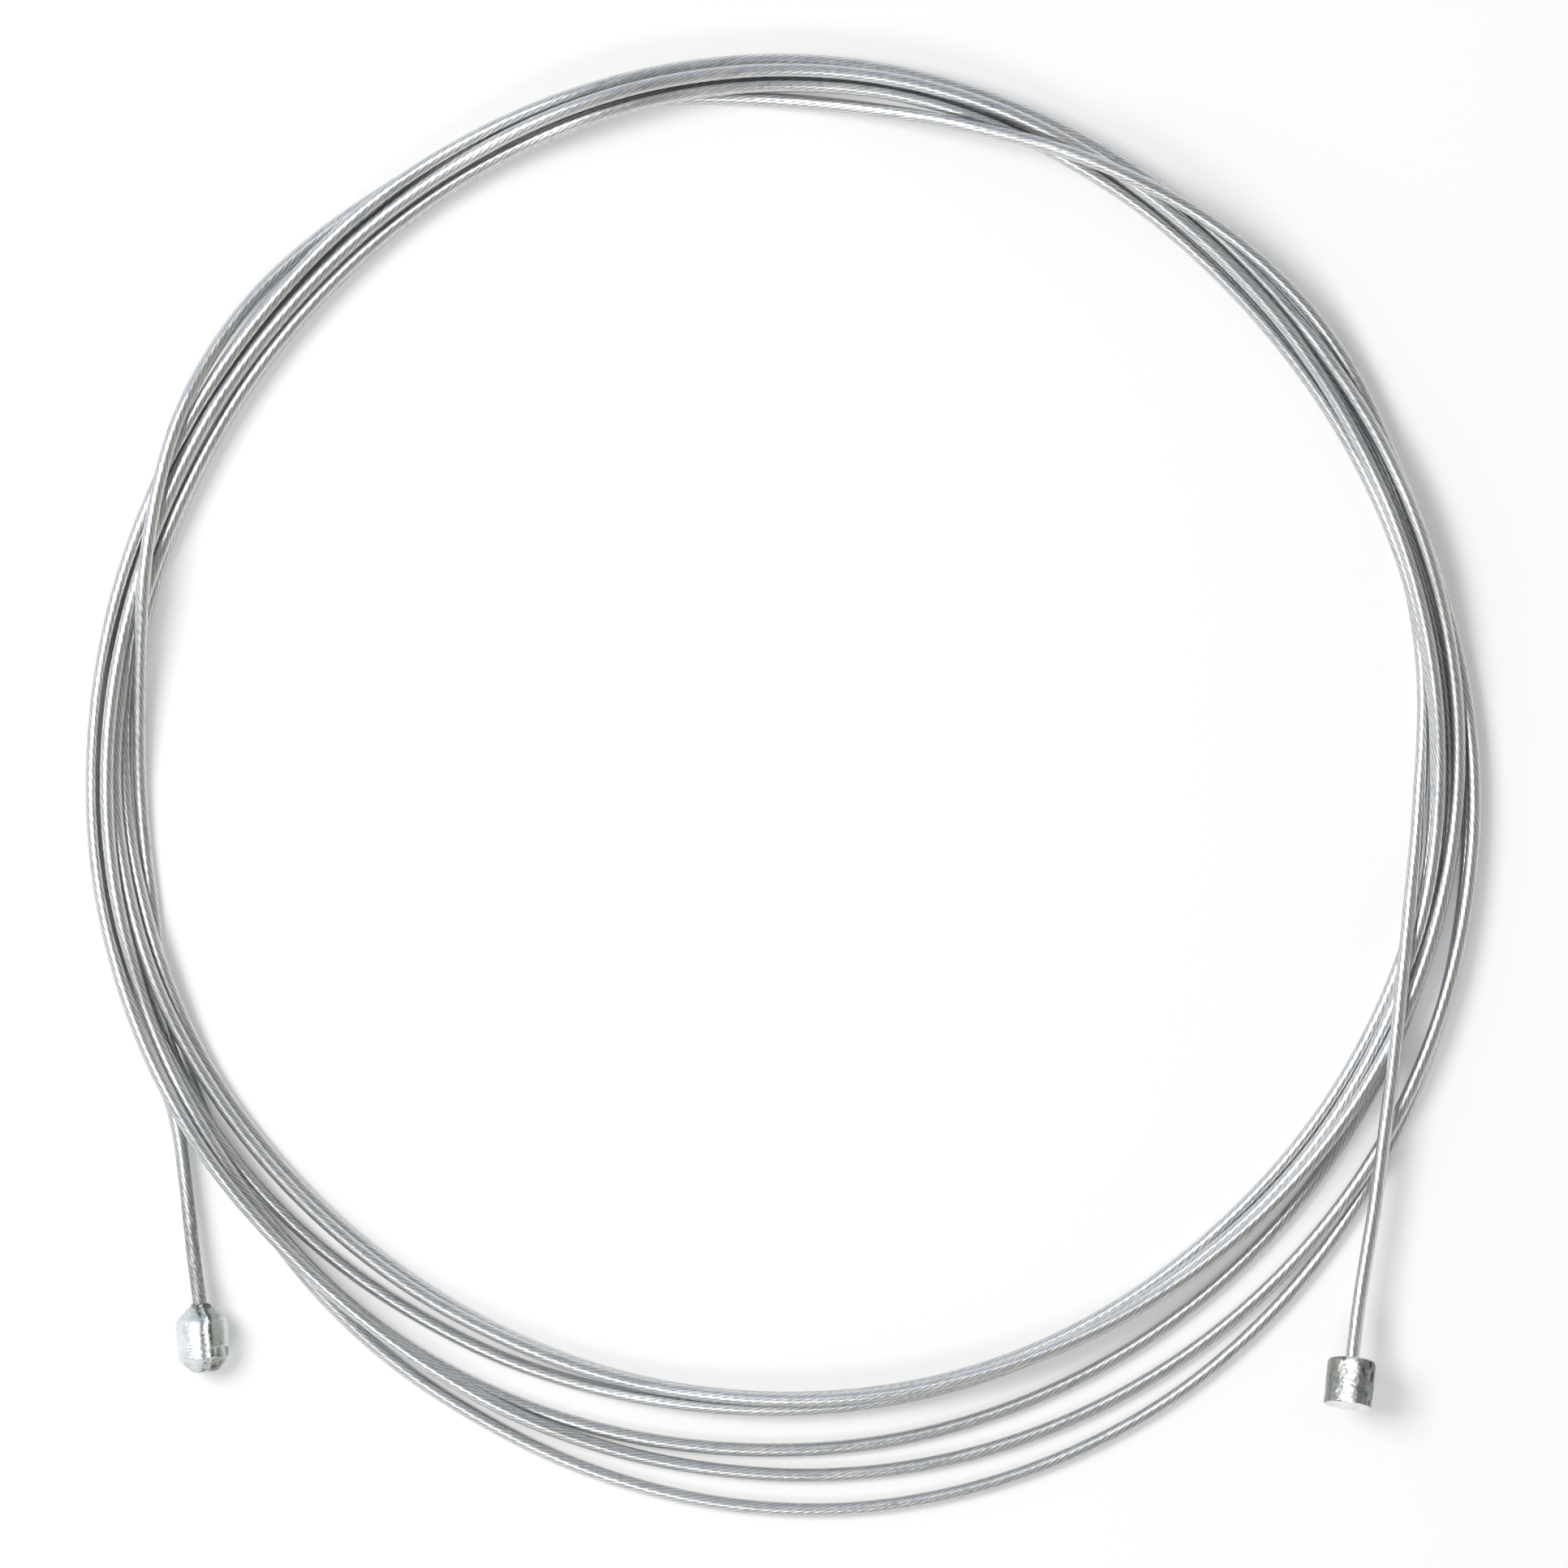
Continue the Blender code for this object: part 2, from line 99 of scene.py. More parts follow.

# %% [markdown]
# The strand's route was followed turn by turn. It is kept as seven passes round the coil,
# against the clock, from the small head to the large one. Each point has an angle in degrees, a
# distance from the coil's middle in millimetres, and an order: where two turns cross or lie on each
# other, the one of the higher order is on top.

# %% Route of the strand
PASSES = (
    # The small head's tail over all the turns, then under the pile
    (
        (-45.3, 69.15, 5), (-40.8, 65.40, 5), (-37.6, 63.40, 5), (-34.3, 61.55, 5), (-30.8, 59.80, 5),
        (-27.2, 58.35, 5), (-24, 57.25, 5), (-20, 56.10, 5), (-15, 55.15, 5), (-10, 54.60, 5),
        (-5, 54.50, 5), (0, 54.65, 0), (5, 55.15, -2), (10, 55.75, -2), (15, 56.25, -2),
        (22, 56.80, -2), (30, 57.30, -2), (40, 58.00, -2), (50, 58.85, -2), (60, 59.60, -2),
        (70, 60.25, -2), (80, 60.85, -2), (90, 61.10, -2), (100, 61.00, -2), (110, 60.65, -1.5),
        (120, 60.10, -1.5), (130, 59.45, -1.5), (140, 59.05, -1.5), (150, 58.65, -1.5),
        (160, 58.30, -1.5), (170, 58.05, -1.5), (180, 58.00, -1.5), (190, 57.90, -1.5),
        (200, 57.70, -1.5), (207, 57.45, -1.5), (214, 57.05, 0), (221, 56.55, 0), (228, 55.95, 0),
        (236, 55.30, 0), (244, 54.80, 0), (252, 54.25, 1), (260, 53.80, 1), (268, 53.55, 1),
        (276, 53.45, 1), (285, 53.45, 1), (294, 53.50, 1), (303, 53.70, 1), (312, 54.15, 1),
        (320, 54.70, 1), (328, 55.15, 1), (336, 55.50, 1), (344, 55.80, 1), (352, 56.05, 1),
    ),
    # Second from the inside, in the top layer all the way round
    (
        (0, 56.20, 3), (7, 56.40, 3), (14, 56.65, 3), (21, 56.95, 3), (28, 57.25, 3), (35, 57.70, 3),
        (42, 58.20, 3), (50, 58.75, 4), (57, 59.35, 4), (65, 60.15, 4), (72, 60.75, 4), (80, 61.15, 4),
        (88, 61.30, 4), (97, 61.20, 4), (107, 60.80, 4), (116, 60.25, 4), (125, 59.70, 4),
        (135, 59.05, 4), (145, 58.65, 4), (155, 58.30, 4), (165, 58.10, 4), (178, 58.05, 4),
        (190, 58.00, 3.5), (196, 57.90, 3), (202, 57.95, 2.5), (212, 57.85, 2), (221, 57.95, 1),
        (229, 58.10, 1), (237, 58.05, 0), (246, 57.80, 0), (256, 57.45, 0), (266, 57.15, 0),
        (278, 57.00, 0), (292, 56.85, 0), (306, 56.80, 0), (318, 56.80, 0), (328, 56.85, 0),
        (337, 56.95, 0), (348, 57.05, 0),
    ),
    # Under the pile on the right and the top, then the innermost turn
    (
        (0, 57.20, 0), (10, 57.40, 0), (20, 57.65, 0), (28, 57.95, 0), (36, 58.35, 0), (45, 58.85, 0),
        (55, 59.35, 0), (65, 59.80, 0), (75, 60.10, 0), (85, 60.15, 0), (95, 60.05, 0),
        (105, 59.60, 0), (115, 59.05, 0), (125, 58.40, 0), (135, 57.85, 0), (145, 57.40, 0),
        (155, 57.05, 0), (165, 56.80, 0), (175, 56.75, 0), (183, 56.45, 0), (190, 55.95, 0),
        (197, 55.55, 0), (205, 55.15, 0), (215, 54.35, 0), (225, 53.70, 0), (235, 53.20, 0),
        (245, 52.90, 0), (255, 52.75, 0), (265, 52.65, 0), (275, 52.70, 0), (285, 52.90, 0),
        (295, 53.05, 0), (305, 53.20, 0), (315, 53.45, 0), (325, 53.95, 0), (335, 54.55, 0),
        (345, 55.20, 0), (352, 55.65, 0),
    ),
    # Innermost on the right and the top, then on top of the innermost turn
    (
        (0, 55.95, 1), (5, 56.15, 1), (12, 56.30, 1), (20, 56.45, 1), (30, 56.70, 1), (40, 57.05, 1),
        (50, 57.65, 1), (58, 58.30, 2), (66, 58.95, 3), (73, 59.55, 3), (79, 59.95, 3), (90, 60.10, 3),
        (100, 59.90, 3), (110, 59.45, 3), (117, 59.05, 3), (125, 58.50, 3), (135, 57.85, 3),
        (145, 57.45, 3), (155, 57.15, 3), (163, 57.20, 2), (172, 57.40, 2), (180, 57.40, 2),
        (188, 57.05, 2), (195, 56.65, 2), (202, 56.10, 2), (210, 55.40, 2), (218, 54.75, 2),
        (226, 54.15, 2), (234, 53.65, 2), (242, 53.20, 2), (250, 52.95, 2), (258, 52.75, 2),
        (266, 52.65, 2), (274, 52.75, 2), (282, 52.95, 2), (290, 53.25, 2), (298, 53.70, 2),
        (306, 54.20, 2), (315, 54.85, 2), (324, 55.55, 2), (332, 56.20, 2), (340, 56.75, 2),
        (347, 57.15, 2), (354, 57.55, 2),
    ),
    # The outermost of the pile
    (
        (0, 57.85, 2), (7, 58.15, 2), (15, 58.45, 2), (23, 58.75, 2), (31, 59.05, 2), (39, 59.30, 2),
        (46, 59.65, 2), (54, 60.20, 3), (62, 60.75, 3), (70, 61.30, 3), (78, 61.75, 3), (86, 62.10, 3),
        (95, 62.15, 3), (105, 61.90, 3), (115, 61.55, 3), (125, 61.15, 3), (135, 60.45, 3),
        (145, 59.95, 3), (155, 59.60, 3), (166, 59.45, 3), (178, 59.35, 3), (190, 59.30, 3),
        (196, 59.20, 3), (202, 59.10, 3), (212, 58.80, 3), (221, 58.45, 3), (229, 58.25, 3),
        (237, 58.35, 3), (246, 58.65, 2), (256, 58.90, 0), (266, 59.10, 0), (276, 59.40, 0),
        (287, 59.65, 0), (298, 59.80, 0), (310, 59.90, 1), (321, 59.90, 2), (332, 59.80, 2),
        (342, 59.60, 2), (351, 59.40, 2),
    ),
    # The wrap: over the pile, under it, over it and under it again, then the outermost turn
    (
        (0, 59.25, 1.5), (8, 59.00, 1), (16, 58.80, 0.6), (24, 58.95, 0.5), (30, 59.45, 0.5),
        (36, 60.25, 0.5), (41, 60.65, 3), (47, 60.70, 6), (54, 60.45, 6), (61, 59.85, 6),
        (68, 59.20, 6), (74, 58.70, 5), (80, 58.50, 0), (87, 58.65, -3), (93, 59.10, -3),
        (99, 59.80, -3), (105, 60.55, -3), (111, 61.25, -3), (118, 61.40, -3), (125, 61.50, -3),
        (131, 61.75, -3), (137, 61.85, 0), (143, 61.45, 6), (149, 60.60, 6), (155, 59.25, 6),
        (161, 57.85, 6), (167, 56.60, 6), (173, 55.75, 4), (180, 55.30, 0), (186, 55.15, -3),
        (191, 55.25, -3), (197, 55.90, -3), (204, 56.65, -3), (212, 57.45, -3), (220, 58.30, -3),
        (228, 59.10, -2), (236, 59.75, 0), (244, 60.25, 0), (252, 60.95, 0), (260, 61.55, 0),
        (268, 62.05, 0), (276, 62.40, 0), (285, 62.50, 0), (294, 62.45, 0), (303, 62.25, 0),
        (312, 61.75, 0), (321, 61.15, 0), (330, 60.45, 0), (339, 59.85, 0), (350, 59.20, 0),
    ),
    # Under the pile to the left side, then the large head's tail
    (
        (0, 58.70, 0), (8, 58.40, -1), (16, 58.30, -1), (24, 58.40, -1), (32, 58.85, -1),
        (40, 59.40, -1), (48, 59.95, -1), (56, 60.50, -1), (65, 60.95, -1), (75, 61.50, -1),
        (85, 62.00, -1), (95, 62.15, -1), (105, 61.85, -1), (115, 61.40, -1), (125, 60.80, -1),
        (135, 60.30, -1), (145, 59.90, -1), (155, 59.60, -1), (165, 59.40, -1), (175, 59.35, -1),
        (185, 59.20, -1), (193, 58.90, -1), (200, 58.75, -1), (204.5, 58.95, -1), (208.6, 59.45, -1),
        (211.2, 60.45, -1), (214.5, 62.15, -1), (217.7, 64.15, -1), (221.8, 67.15, -1),
    ),
)
key_rows = [
    (angle + 360.0 * number, distance * MM, order)
    for number, points in enumerate(PASSES)
    for angle, distance, order in points
]
key_angles, key_distances, key_order = np.array(key_rows).T
print("Route points:", len(key_rows))

# %% [markdown]
# A smooth curve goes through the points of the route: a cubic between each two, with a slope at each
# point that leans on both its neighbours. Another choice is a NURBS curve, but it would miss the
# points, and here they are what was read.

# %% Smooth curve through given values
def smooth_through(wanted, given, values):
    gap = np.diff(given)
    rise = np.diff(values) / gap
    slope = np.empty(len(values))
    slope[1:-1] = (rise[:-1] * gap[1:] + rise[1:] * gap[:-1]) / (gap[1:] + gap[:-1])
    slope[0] = rise[0]
    slope[-1] = rise[-1]
    k = np.clip(np.searchsorted(given, wanted) - 1, 0, len(given) - 2)
    t = (wanted - given[k]) / gap[k]
    start = (1 + 2 * t) * (1 - t) ** 2 * values[k] + t * (1 - t) ** 2 * gap[k] * slope[k]
    end = t**2 * (3 - 2 * t) * values[k + 1] + t**2 * (t - 1) * gap[k] * slope[k + 1]
    return start + end


# %% [markdown]
# The heights aren't read but laid, in the way that gravity lays the real wire. Stations every three
# degrees start on the table. In each round the stiff wire evens out and sinks a little, and then every
# pair that lies on each other is pressed apart to a strand's thickness. The same steps, on the same
# numbers, laid the CAD strand, so the twisted one comes to lie where that one is.

# %% Lay the strand down
TURN_CLEARANCE = 0.1 * MM
STATION_STEP = 3.0
STATION_SAG = 0.02 * MM
LAYING_ROUNDS = 400
PRESSING_SWEEPS = 4
UPPER_SHARE = 0.6
LAST_SWEEPS = 40
MOUTH_STRETCH = 2.0


def crossings(angles, distances, order):
    pitch = STRAND_D + TURN_CLEARANCE
    turn = round(360.0 / STATION_STEP)
    lean = np.gradient(distances, np.radians(angles)) / distances
    found = []
    for i in range(len(angles)):
        for j in range(i + turn, len(angles), turn):
            across = abs(distances[i] - distances[j]) / math.hypot(1.0, lean[i] - lean[j])
            if across >= pitch:
                continue
            upper, lower = (i, j) if order[i] >= order[j] else (j, i)
            found.append((upper, lower, math.sqrt(pitch**2 - across**2)))
    return found


def press_apart(heights, pairs, share):
    for upper, lower, rise in pairs:
        lack = rise - (heights[upper] - heights[lower])
        if lack > 0:
            heights[upper] += share * lack
            heights[lower] -= (1 - share) * lack


def lay_heights(angles, distances, order, first, last):
    floor = STRAND_D / 2
    pairs = crossings(angles, distances, order)
    heights = np.full(len(angles), floor)
    for _ in range(LAYING_ROUNDS):
        heights[1:-1] = (heights[:-2] + 2 * heights[1:-1] + heights[2:]) / 4
        heights -= STATION_SAG
        for _ in range(PRESSING_SWEEPS):
            press_apart(heights, pairs, UPPER_SHARE)
            np.maximum(heights, floor, out=heights)
        heights[0] = first
        heights[-1] = last
    for _ in range(LAST_SWEEPS):
        press_apart(heights, pairs, 1.0)
    return heights


# %% [markdown]
# The two heads say where the strand begins and ends. Each has a mouth, where the strand comes out,
# and a direction in which it leaves. Between the mouths the stations carry on, and the straight ends
# run on into the blind bores.

# %% Place the mouths and join the whole centre line
def head_direction(azimuth, tilt):
    flat = math.cos(math.radians(tilt))
    turn = math.radians(azimuth)
    return Vector((flat * math.cos(turn), flat * math.sin(turn), -math.sin(math.radians(tilt))))


def polar_point(angle, distance, height):
    turn = math.radians(angle)
    return Vector((distance * math.cos(turn), distance * math.sin(turn), height)) + COIL_CENTRE


small_out = head_direction(SMALL_HEAD_AZIMUTH, SMALL_HEAD_TILT)
large_out = head_direction(LARGE_HEAD_AZIMUTH, LARGE_HEAD_TILT)
small_mouth = polar_point(key_angles[0], key_distances[0], SMALL_HEAD_LIFT)
large_mouth = polar_point(key_angles[-1], key_distances[-1], LARGE_HEAD_D / 2)

first_angle = STATION_STEP * math.ceil((key_angles[0] + MOUTH_STRETCH) / STATION_STEP)
last_angle = STATION_STEP * math.floor((key_angles[-1] - MOUTH_STRETCH) / STATION_STEP)
angles = np.arange(first_angle, last_angle + STATION_STEP / 2, STATION_STEP)
distances = smooth_through(angles, key_angles, key_distances)
order = np.interp(angles, key_angles, key_order)
near_small = polar_point(angles[0], distances[0], small_mouth.z)
near_large = polar_point(angles[-1], distances[-1], large_mouth.z)
first_height = small_mouth.z + small_out.z * (near_small - small_mouth).length
last_height = large_mouth.z + large_out.z * (near_large - large_mouth).length
heights = lay_heights(angles, distances, order, first_height, last_height)

stations = [polar_point(a, d, z) for a, d, z in zip(angles, distances, heights)]
small_end = small_mouth - small_out * (SMALL_HEAD_BORE_DEPTH - BORE_CLEARANCE)
large_end = large_mouth - large_out * (LARGE_HEAD_BORE_DEPTH - BORE_CLEARANCE)
knots = np.array([small_end, small_mouth, *stations, large_mouth, large_end])
knot_steps = np.linalg.norm(np.diff(knots, axis=0), axis=1)
knot_places = np.concatenate([[0.0], np.cumsum(knot_steps)])
pile_height = max(heights) + STRAND_D / 2
print("Strand:", round(knot_places[-1], 4), "m long, pile", round(pile_height / MM, 2), "mm high")

# %% [markdown]
# The strand's shape and all the finishes are worked out by nodes. Two small classes keep that
# readable. A Shop adds nodes to one tree, and a Reading wraps a socket, so that an expression such as
# 1 - mask adds the Math node for it. Colours go through Mix nodes, because a Math node would turn them
# grey.

# %% Node maths
class Reading:
    """A value on its way through a tree of nodes."""

    def __init__(self, shop, socket):
        self.shop = shop
        self.socket = socket

    def worked(self, operation, *others):
        return self.shop.add("ShaderNodeMath", {"operation": operation}, self, *others)

    def __add__(self, other):
        return self.worked("ADD", other)

    __radd__ = __add__

    def __sub__(self, other):
        return self.worked("SUBTRACT", other)

    def __rsub__(self, other):
        return self.shop.add("ShaderNodeMath", {"operation": "SUBTRACT"}, other, self)

    def __mul__(self, other):
        return self.worked("MULTIPLY", other)

    __rmul__ = __mul__

    def __truediv__(self, other):
        return self.worked("DIVIDE", other)

    def __pow__(self, other):
        return self.worked("POWER", other)

    def clamped(self):
        return self.shop.add("ShaderNodeClamp", {}, self)


class Shop:
    """Adds nodes to one tree."""

    def __init__(self, tree):
        self.tree = tree

    def add(self, kind, settings, *values, out=0, **named):
        """Adds a node, sets its settings first, then fills or links its inputs, and reads one output.

        An input goes by its place or by its name, with an underscore for a space.
        """
        made = self.tree.nodes.new(kind)
        for key, value in settings.items():
            setattr(made, key, value)
        filled = list(zip(made.inputs, values))
        filled += [(made.inputs[key.replace("_", " ")], value) for key, value in named.items()]
        for socket, value in filled:
            if isinstance(value, Reading):
                self.tree.links.new(value.socket, socket)
            else:
                socket.default_value = value
        return Reading(self, made.outputs[out])

    def ramp(self, factor, stops):
        """A ramp from (place, colour) pairs."""
        made = self.tree.nodes.new("ShaderNodeValToRGB")
        elements = made.color_ramp.elements
        while len(elements) < len(stops):
            elements.new(0.5)
        for element, (place, colour) in zip(elements, stops):
            element.position = place
            element.color = (*colour, 1.0)
        self.tree.links.new(factor.socket, made.inputs[0])
        return Reading(self, made.outputs[0])

    def mixed(self, factor, first, second):
        """A colour between two others. In a Mix node they are inputs 6 and 7, and it is output 2."""
        made = self.tree.nodes.new("ShaderNodeMix")
        made.data_type = "RGBA"
        for place, value in ((0, factor), (6, first), (7, second)):
            if isinstance(value, Reading):
                self.tree.links.new(value.socket, made.inputs[place])
            else:
                made.inputs[place].default_value = (*value, 1.0)
        return Reading(self, made.outputs[2])

    def dot(self, first, second):
        return self.add("ShaderNodeVectorMath", {"operation": "DOT_PRODUCT"}, first, second, out="Value")


# %% [markdown]
# The strand itself is one tube with twelve flutes that wind round it. Twelve separate wires would be
# truer, but over two and a half metres each would need as many faces as the whole strand may have.
# Geometry Nodes suit it well: a profile of twelve flat arcs is swept along the centre line, and the
# tilt grows with the length, which gives the lay. Each wire has one point of the profile in the groove
# beside it and two near its crown. The tree also stores where a point is: near a crown or in a groove,
# on which wire, and how far along the strand.

# %% The tree that twists the strand: its inputs
POINTS_PER_WIRE = 3
RINGS_PER_LAY = 12.0

strand_tree = bpy.data.node_groups.new("twist_strand", "GeometryNodeTree")


def tree_input(name, kind):
    """Adds an input to the strand's tree and returns its identifier, by which a modifier sets it."""
    return strand_tree.interface.new_socket(name, in_out="INPUT", socket_type=kind).identifier


tree_input("Geometry", "NodeSocketGeometry")
id_strand_d = tree_input("Strand Diameter", "NodeSocketFloat")
id_groove = tree_input("Groove Depth", "NodeSocketFloat")
id_wires = tree_input("Wires", "NodeSocketInt")
id_points = tree_input("Points per Wire", "NodeSocketInt")
id_lay = tree_input("Lay Length", "NodeSocketFloat")
id_ring_gap = tree_input("Ring Gap", "NodeSocketFloat")
id_metal = tree_input("Metal", "NodeSocketMaterial")
strand_tree.interface.new_socket("Geometry", in_out="OUTPUT", socket_type="NodeSocketGeometry")
print("Inputs of the strand's tree:", len(strand_tree.interface.items_tree) - 1)

# %% The profile of twelve flat arcs
# A point in a groove lies right between two wires, and this much more gives it to the second
JUST_PAST = 0.001

shop = Shop(strand_tree)


def given(name):
    return shop.add("NodeGroupInput", {}, out=name)


def stored(geometry, name, value):
    """Keeps a number at each point under a name, for the material to read."""
    settings = {"data_type": "FLOAT", "domain": "POINT"}
    return shop.add(
        "GeometryNodeStoreNamedAttribute", settings, Geometry=geometry, Name=name, Value=value
    )


circle = shop.add(
    "GeometryNodeCurvePrimitiveCircle", {"mode": "RADIUS"},
    Resolution=given("Wires") * given("Points per Wire"), Radius=1.0,
)
wire_place = shop.add("GeometryNodeSplineParameter", {}, out="Factor") * given("Wires") + JUST_PAST
across = 2.0 * wire_place.worked("FRACT") - 1.0
crown = 1.0 - across**2.0
flute = 0.5 * given("Strand Diameter") - given("Groove Depth") * (1.0 - crown)
crowned = stored(circle, "crown", crown)
numbered = stored(crowned, "wire", wire_place.worked("FLOOR"))
on_circle = shop.add("GeometryNodeInputPosition", {})
on_flute = shop.add("ShaderNodeVectorMath", {"operation": "SCALE"}, on_circle, Scale=flute)
profile = shop.add("GeometryNodeSetPosition", {}, Geometry=numbered, Position=on_flute)
print("Nodes for the strand's profile:", len(strand_tree.nodes))

# %% Sweep the profile along the centre line, with a growing tilt
rings = shop.add(
    "GeometryNodeResampleCurve", {"mode": "LENGTH"}, Curve=given("Geometry"), Length=given("Ring Gap")
)
upright = shop.add("GeometryNodeSetCurveNormal", {"mode": "Z_UP"}, Curve=rings)
run_length = shop.add("GeometryNodeSplineParameter", {}, out="Length")
measured = stored(upright, "along", run_length)
twist = run_length / given("Lay Length") * (-2.0 * math.pi)
tilted = shop.add("GeometryNodeSetCurveTilt", {}, Curve=measured, Tilt=twist)
swept = shop.add("GeometryNodeCurveToMesh", {}, Curve=tilted, Profile_Curve=profile, Fill_Caps=True)
smooth = shop.add("GeometryNodeSetShadeSmooth", {}, Geometry=swept, Shade_Smooth=True)
realised = shop.add("GeometryNodeRealizeInstances", {}, Geometry=smooth)
dressed = shop.add("GeometryNodeSetMaterial", {}, Geometry=realised, Material=given("Metal"))
strand_tree.links.new(dressed.socket, strand_tree.nodes.new("NodeGroupOutput").inputs[0])
print("Nodes in the strand's tree:", len(strand_tree.nodes))

# %% [markdown]
# The strand's metal is galvanised steel. Painted shade darkens the grooves between the wires, which
# are also rougher than the crowns, and no two wires are quite alike: some are bluish, some olive. The
# last two centimetres of the strand before the large head have painted shade, which dims the lamp's
# reflection there, and are rougher. The masks come from what the tree stored: how near a point is to
# its wire's crown, the wire's number, and the place along.

# %% Nodes of one material
class Finish(Shop):
    """A new material, with shortcuts for what its nodes read and feed."""

    def __init__(self, name):
        self.material = bpy.data.materials.new(name)
        self.material.use_nodes = True
        super().__init__(self.material.node_tree)
        self.surface = self.tree.nodes["Principled BSDF"]

    def attribute(self, name):
        return self.add("ShaderNodeAttribute", {"attribute_name": name}, out="Fac")

    def place(self):
        return self.add("ShaderNodeTexCoord", {}, out="Object")

    def feed(self, name, value):
        self.tree.links.new(value.socket, self.surface.inputs[name])


# %% Steel of the strand
STREAK_LENGTH = 0.5 * MM
DARKENED_TAIL_START = 22.0 * MM
DARKENED_TAIL_END = 9.0 * MM
STEEL_TONES = [(0.25, (0.55, 0.59, 0.63)), (0.5, (0.73, 0.74, 0.75)), (0.75, (0.86, 0.84, 0.79))]
# Colour of the painted shade on the tail before the large head
TAIL_PAINTED_SHADE = (0.27, 0.28, 0.25)
# Colour of the painted shade in the grooves between the wires
GROOVE_PAINTED_SHADE = (0.13, 0.14, 0.16)


def strand_steel(strand_length):
    finish = Finish("galvanised_steel")
    crown_mask = finish.attribute("crown")
    # A face between two wires blends their numbers, and rounding down gives it to the first
    wire_mask = (finish.attribute("wire") + 0.02).worked("FLOOR")
    place = finish.place()
    smudges = finish.add("ShaderNodeTexNoise", {}, place, Scale=420.0, Detail=3.0, Roughness=0.6)
    patches = finish.add("ShaderNodeTexNoise", {}, place, Scale=60.0, Detail=2.0)
    along = finish.attribute("along")
    along_wire = finish.add("ShaderNodeCombineXYZ", {}, wire_mask * 5.1, along / STREAK_LENGTH)
    streaks = finish.add("ShaderNodeTexNoise", {}, along_wire, Scale=1.0, Detail=2.0, Roughness=0.6)
    per_wire = finish.add("ShaderNodeTexWhiteNoise", {"noise_dimensions": "1D"}, W=wire_mask)
    tone = (0.2 * per_wire + 0.8 * streaks + 0.25 * smudges + 0.2 * patches - 0.22).clamped()
    bare = finish.ramp(tone, STEEL_TONES)
    in_groove = ((1.0 - crown_mask) ** 2.0).clamped()
    # The tail before the large head gets painted shade in its colour and more roughness
    darkened_tail = finish.add(
        "ShaderNodeMapRange", {"interpolation_type": "SMOOTHSTEP"},
        along, strand_length - DARKENED_TAIL_START, strand_length - DARKENED_TAIL_END,
    )
    with_tail_shade = finish.mixed(darkened_tail * (1.6 - 2.0 * streaks).clamped(), bare, TAIL_PAINTED_SHADE)
    # The grooves get painted shade, mottled by the smudges
    finish.feed("Base Color", finish.mixed(in_groove * (0.3 + 0.8 * smudges), with_tail_shade, GROOVE_PAINTED_SHADE))
    dullness = 0.19 + 0.14 * smudges + 0.12 * streaks + 0.15 * in_groove + 0.2 * darkened_tail
    finish.feed("Roughness", dullness.clamped())
    finish.surface.inputs["Metallic"].default_value = 1.0
    return finish.material


steel = strand_steel(knot_places[-1])
print("Nodes in the steel:", len(steel.node_tree.nodes))

# %% [markdown]
# The centre line becomes a curve with a point every half millimetre, and the tree turns it into the
# strand. Its inputs are set by their identifiers before it is first looked at. The result is kept as a
# plain mesh, and the curve that carried it is removed.

# %% Twist the strand
ROUTE_STEP = 0.5 * MM

route_places = np.linspace(0.0, knot_places[-1], round(knot_places[-1] / ROUTE_STEP))
route_axes = [smooth_through(route_places, knot_places, knots[:, axis]) for axis in range(3)]
route = np.stack(route_axes, axis=1)

route_curve = bpy.data.curves.new("strand_route", "CURVE")
route_curve.dimensions = "3D"
route_spline = route_curve.splines.new("POLY")
route_spline.points.add(len(route) - 1)
route_spline.points.foreach_set("co", np.column_stack([route, np.ones(len(route))]).ravel())
route_object = bpy.data.objects.new("strand_route", route_curve)
bpy.context.collection.objects.link(route_object)

twisting = route_object.modifiers.new("twist", "NODES")
twisting.node_group = strand_tree
twisting[id_strand_d] = STRAND_D
twisting[id_groove] = GROOVE_DEPTH
twisting[id_wires] = OUTER_WIRES
twisting[id_points] = POINTS_PER_WIRE
twisting[id_lay] = LAY_LENGTH
twisting[id_ring_gap] = LAY_LENGTH / RINGS_PER_LAY
twisting[id_metal] = steel
twisted = route_object.evaluated_get(bpy.context.evaluated_depsgraph_get())
strand_mesh = bpy.data.meshes.new_from_object(twisted)
strand = bpy.data.objects.new("twisted_strand", strand_mesh)
bpy.context.collection.objects.link(strand)
bpy.data.objects.remove(route_object, do_unlink=True)
strand_mesh.name = "twisted_strand"
strand_mesh.calc_loop_triangles()
print("Strand:", len(strand_mesh.loop_triangles), "triangles")

# %% The strand mesh's vertex positions
corner_places = np.empty(3 * len(strand_mesh.vertices))
strand_mesh.vertices.foreach_get("co", corner_places)

# %% [markdown]
# The heads are zinc, cast round the frayed end of the strand in a small die. The real ones show it: a
# ragged seam where the halves of the die met, pits, dull and bright patches, and a little collar
# where metal crept out along the wire. Each is modelled as rings along its outline, and every point is
# then moved along its own normal by what the casting did there. The zinc's colour follows a tone
# stored at each point, which holds the casting's own tone together with painted highlights and
# painted shade, with grit for a coarser grain.

